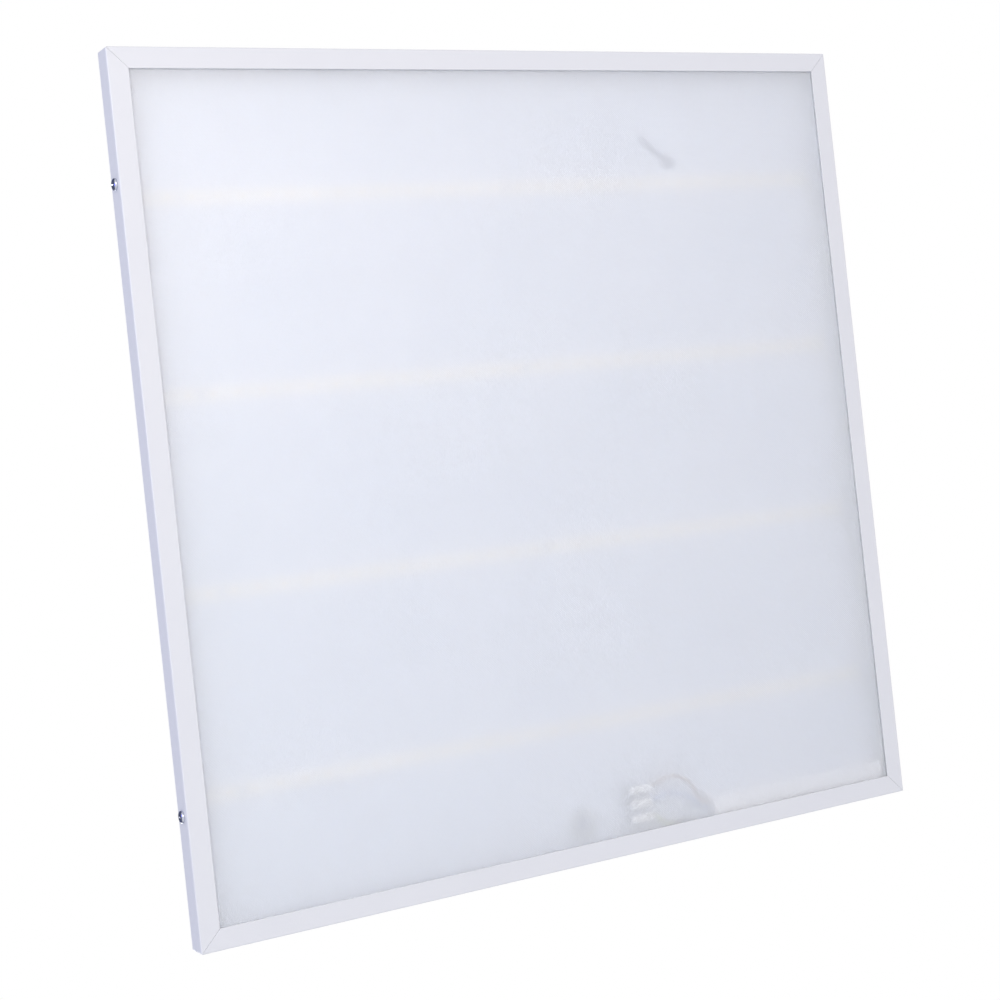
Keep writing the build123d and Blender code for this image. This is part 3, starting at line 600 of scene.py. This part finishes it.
driver_case = moulding(
    "driver_case", srgb(254, 252, 255), 0.42, 0.3 * mm, 0.03 * mm, coat_weight=1.0, coat_ior=1.9
)
dress(["driver_base", "driver_cover"], driver_case)
board_green = moulding("board_green", srgb(38, 104, 62), 0.3, 1.2 * mm, 0.02 * mm)
dress(["driver_board"], board_green)
ferrite = moulding("ferrite", srgb(58, 58, 62), 0.6, 0.4 * mm, 0.04 * mm)
dress(["driver_transformer", "driver_choke"], ferrite)
can_sleeve = moulding("can_sleeve", srgb(34, 34, 40), 0.25, 2.0 * mm, 0.01 * mm)
dress(["driver_capacitors"], can_sleeve)
epoxy = moulding("epoxy", srgb(30, 30, 30), 0.5, 0.3 * mm, 0.02 * mm)
dress(["driver_rectifier"], epoxy)
fuse_body = moulding("fuse_body", srgb(150, 112, 76), 0.35, 0.8 * mm, 0.02 * mm)
dress(["driver_fuse"], fuse_body)
low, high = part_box("driver_screws")
tray_back = high.z - board_screw_head_height
driver_screw_y = (low.y + high.y) / 2
new_piece(
    "driver_screw_set",
    copies(
        pan_screw(board_screw_head, board_screw_head_height, board_screw_shank, tray_back - low.z),
        [
            Matrix.Translation((x, driver_screw_y, tray_back))
            for x in (low.x + board_screw_head, high.x - board_screw_head)
        ],
    ),
    [pale_zinc],
    replaced=["driver_screws"],
)


# ---------------------------------------------------------------- Terminal block
# A white three-pole block with brass clamps inside and a slotted screw over each end of
# each clamp, held down by two screws between its poles.
block_nylon_painted_shade, block = finish("block_nylon_painted_shade", srgb(254, 253, 252), 0.4)
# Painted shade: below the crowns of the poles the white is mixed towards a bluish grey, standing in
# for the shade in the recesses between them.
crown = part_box("terminal_block")[0].z
painted_shade_below_crowns = block.axes["Z"].soft_step(crown + 0.8 * mm, crown + 2.6 * mm)
block_grain = noise(block, 0.5 * mm)
block.set(
    block.shader,
    {
        # The bluish grey below the crowns is painted shade, not the colour of the nylon.
        "Base Color": block.mix(painted_shade_below_crowns, srgb(254, 253, 252), srgb(170, 176, 190)),
        "Roughness": 0.4 + 0.1 * block_grain,
    },
)
bump(block, block_grain, 0.02 * mm)
dress(["terminal_block"], block_nylon_painted_shade)
brass, brass_shading = finish("brass", srgb(196, 164, 98), 0.28, metallic=1.0)
brass_cloud = noise(brass_shading, 0.6 * mm)
brass_shading.set(
    brass_shading.shader,
    {
        "Base Color": brass_shading.mix(brass_cloud, srgb(204, 172, 104), srgb(176, 142, 80)),
        "Roughness": 0.22 + 0.16 * brass_cloud,
    },
)
bump(brass_shading, brass_cloud, 0.02 * mm)
dress(["terminal_clamps"], brass)
dull_zinc = zinc("dull_zinc", srgb(214, 215, 220), 0.34)
dress(["clamp_screws", "block_screws"], dull_zinc)


# ---------------------------------------------------------------- Earth point
# A ring tag crimped on the earth lead, held to the tray by a screw, washer and nut.
tinned = zinc("tinned_copper", srgb(205, 201, 192), 0.32)
dress(["earth_lug"], tinned)
dress(["earth_screw", "earth_washer", "earth_nut"], dull_zinc)


# ---------------------------------------------------------------- Cable bush
# A grey rubber bush that lines the hole where the supply cable comes in.
bush_rubber = moulding("bush_rubber", srgb(178, 181, 188), 0.62, 0.6 * mm, 0.04 * mm)
dress(["cable_grommet"], bush_rubber)


# ---------------------------------------------------------------- Leads
# Insulated leads: brown, blue and green-and-yellow on the mains side, white on the lamp
# side, where three stick-on clips hold the long return lead by the tray's wall.
def insulation(name, color):
    """Extruded insulation: smooth, slightly glossy, faintly uneven along its length."""
    return moulding(name, color, 0.3, 1.6 * mm, 0.02 * mm)


dress(["live_lead"], insulation("brown_lead", srgb(172, 132, 110)))
dress(["neutral_lead"], insulation("blue_lead", srgb(130, 162, 222)))
white_lead = insulation("white_lead", srgb(240, 240, 236))
dress(["output_lead_positive", "output_lead_negative"], white_lead)
dress(["jumper_lead_1_2", "jumper_lead_2_3", "jumper_lead_3_4"], white_lead)
green_yellow, stripe = finish("green_yellow_lead", srgb(70, 140, 60), 0.34)
stripe_pitch = 2.6 * mm
stripe_slant = 1.3
stripe_cell = (stripe.axes["Y"] + stripe.axes["Z"] * stripe_slant).repeat(stripe_pitch)
stripe_share = stripe_cell.soft_step(0.6 * mm, 0.7 * mm)
stripe.set(
    stripe.shader,
    {"Base Color": stripe.mix(stripe_share, srgb(128, 184, 120), srgb(236, 222, 96))},
)
bump(stripe, noise(stripe, 1.2 * mm), 0.02 * mm)
dress(["earth_lead"], green_yellow)
clip_nylon = moulding("clip_nylon", srgb(236, 236, 230), 0.42, 0.5 * mm, 0.02 * mm)
dress(["lead_clips"], clip_nylon)
